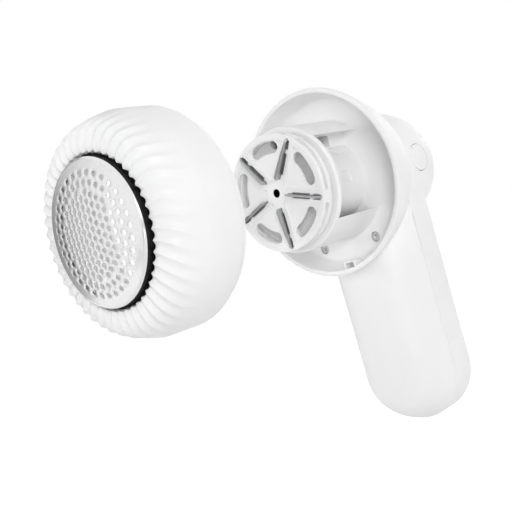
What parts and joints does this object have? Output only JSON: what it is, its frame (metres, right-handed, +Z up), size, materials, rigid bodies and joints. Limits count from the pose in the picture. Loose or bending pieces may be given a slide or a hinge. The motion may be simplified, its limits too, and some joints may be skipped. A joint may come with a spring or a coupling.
{
  "type": "fabric shaver",
  "caption": "Hand-held battery fabric shaver: drum-shaped lint bin with a perforated foil, bladed cutter wheel on a motor tower in a round cup, motor hump with side button, flat handle.",
  "frame": {"origin": "middle of the grip, on the plane where the front and rear shells meet", "axes": "-Y is the front, towards the foil; +X is the power button's side; +Z is up, from the handle's end to the head"},
  "size_m": [0.0708, 0.1606, 0.1351],
  "materials": {
    "white_plastic": "satin white moulded plastic",
    "bin_plastic": "satin white moulded plastic",
    "foil_steel": "thin stamped steel, softly bright",
    "blade_steel": "ground steel",
    "motor_steel": "drawn steel can",
    "motor_plastic": "black moulded plastic",
    "armature_copper": "copper windings",
    "screw_steel": "dark plated steel",
    "switch_plastic": "black moulded plastic",
    "board_green": "green lacquered board",
    "nickel": "nickel-plated sheet",
    "cell_wrap": "shrunk plastic wrap over a steel cell",
    "lead_red": "red insulated wire",
    "lead_black": "black insulated wire"
  },
  "bodies": {
    "body": {"motor_can": "motor_steel", "motor_end_cap": "motor_plastic", "motor_screw_1": "screw_steel", "motor_screw_2": "screw_steel", "motor_tower": "white_plastic", "tower_screw_1": "screw_steel", "tower_screw_2": "screw_steel", "tower_screw_3": "screw_steel", "front_shell": "white_plastic", "rear_shell": "white_plastic", "switch_body": "switch_plastic", "circuit_board": "board_green", "charge_board": "board_green", "charge_socket": "nickel", "battery_cell": "cell_wrap", "battery_tab_top": "nickel", "battery_tab_bottom": "nickel", "motor_lead_red": "lead_red", "motor_lead_black": "lead_black", "battery_lead_red": "lead_red", "battery_lead_black": "lead_black"},
    "bin": {"lint_bin": "bin_plastic", "foil": "foil_steel", "foil_carrier": "white_plastic"},
    "cutter": {"cutter_wheel": "white_plastic", "motor_shaft": "blade_steel", "motor_armature": "armature_copper", "blade_1": "blade_steel", "blade_2": "blade_steel", "blade_3": "blade_steel", "blade_4": "blade_steel", "blade_5": "blade_steel"},
    "button": {"power_button": "white_plastic", "switch_plunger": "switch_plastic"}
  },
  "joints": [
    {"name": "bin_slide", "type": "slide", "parent": "body", "child": "bin", "axis": [0, 1, 0], "range_m": [0, 0.076]},
    {"name": "cutter_spin", "type": "hinge", "parent": "body", "child": "cutter", "pos_m": [0, -0.049, 0.067], "axis": [0, -1, 0], "continuous": true},
    {"name": "button_press", "type": "slide", "parent": "body", "child": "button", "axis": [-1, 0, 0], "range_m": [0, 0.0012], "stiffness_N_per_m": 300}
  ]
}
